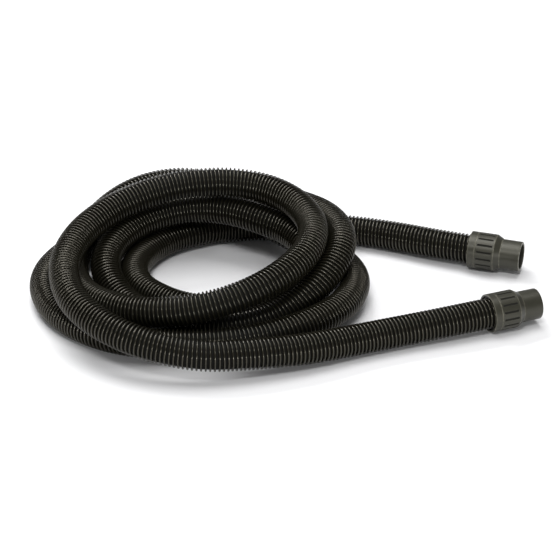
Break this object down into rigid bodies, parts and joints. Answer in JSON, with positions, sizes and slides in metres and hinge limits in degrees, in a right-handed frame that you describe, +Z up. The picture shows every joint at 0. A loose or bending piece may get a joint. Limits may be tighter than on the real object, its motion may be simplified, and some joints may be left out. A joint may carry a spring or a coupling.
{
  "type": "pool vacuum hose",
  "caption": "Ribbed pool vacuum hose laid in a loose coil, with a fluted swivel cuff and plain push-fit nozzle on each end.",
  "frame": {"origin": "middle of the whole object on the plane it lies on", "axes": "+Z up; the coil is on the -X side and both cuffs point towards +X; -Y is the side of the lead that leaves the top of the coil"},
  "size_m": [0.7663, 0.526, 0.1527],
  "materials": {
    "hose_eva": "satin dark olive-black",
    "cuff_plastic": "satin dark olive-grey",
    "insert_plastic": "satin black",
    "washer_acetal": "smooth natural white",
    "seal_rubber": "matt black"
  },
  "bodies": {
    "hose": {"hose_lead_a": "hose_eva", "hose_coil": "hose_eva", "hose_lead_b": "hose_eva", "threaded_insert_a": "insert_plastic", "seal_ring_a": "seal_rubber", "threaded_insert_b": "insert_plastic", "seal_ring_b": "seal_rubber"},
    "cuff_a": {"swivel_cuff_a": "cuff_plastic", "retaining_ring_a": "cuff_plastic", "rear_glide_washer_a": "washer_acetal", "front_glide_washer_a": "washer_acetal"},
    "cuff_b": {"swivel_cuff_b": "cuff_plastic", "retaining_ring_b": "cuff_plastic", "rear_glide_washer_b": "washer_acetal", "front_glide_washer_b": "washer_acetal"}
  },
  "joints": [
    {"name": "cuff_a_swivel", "type": "hinge", "parent": "hose", "child": "cuff_a", "pos_m": [0.29, 0.0995, 0.0286], "axis": [0.9511, -0.309, 0], "continuous": true},
    {"name": "cuff_b_swivel", "type": "hinge", "parent": "hose", "child": "cuff_b", "pos_m": [0.301, -0.1005, 0.0286], "axis": [0.9272, 0.3746, 0], "continuous": true}
  ]
}
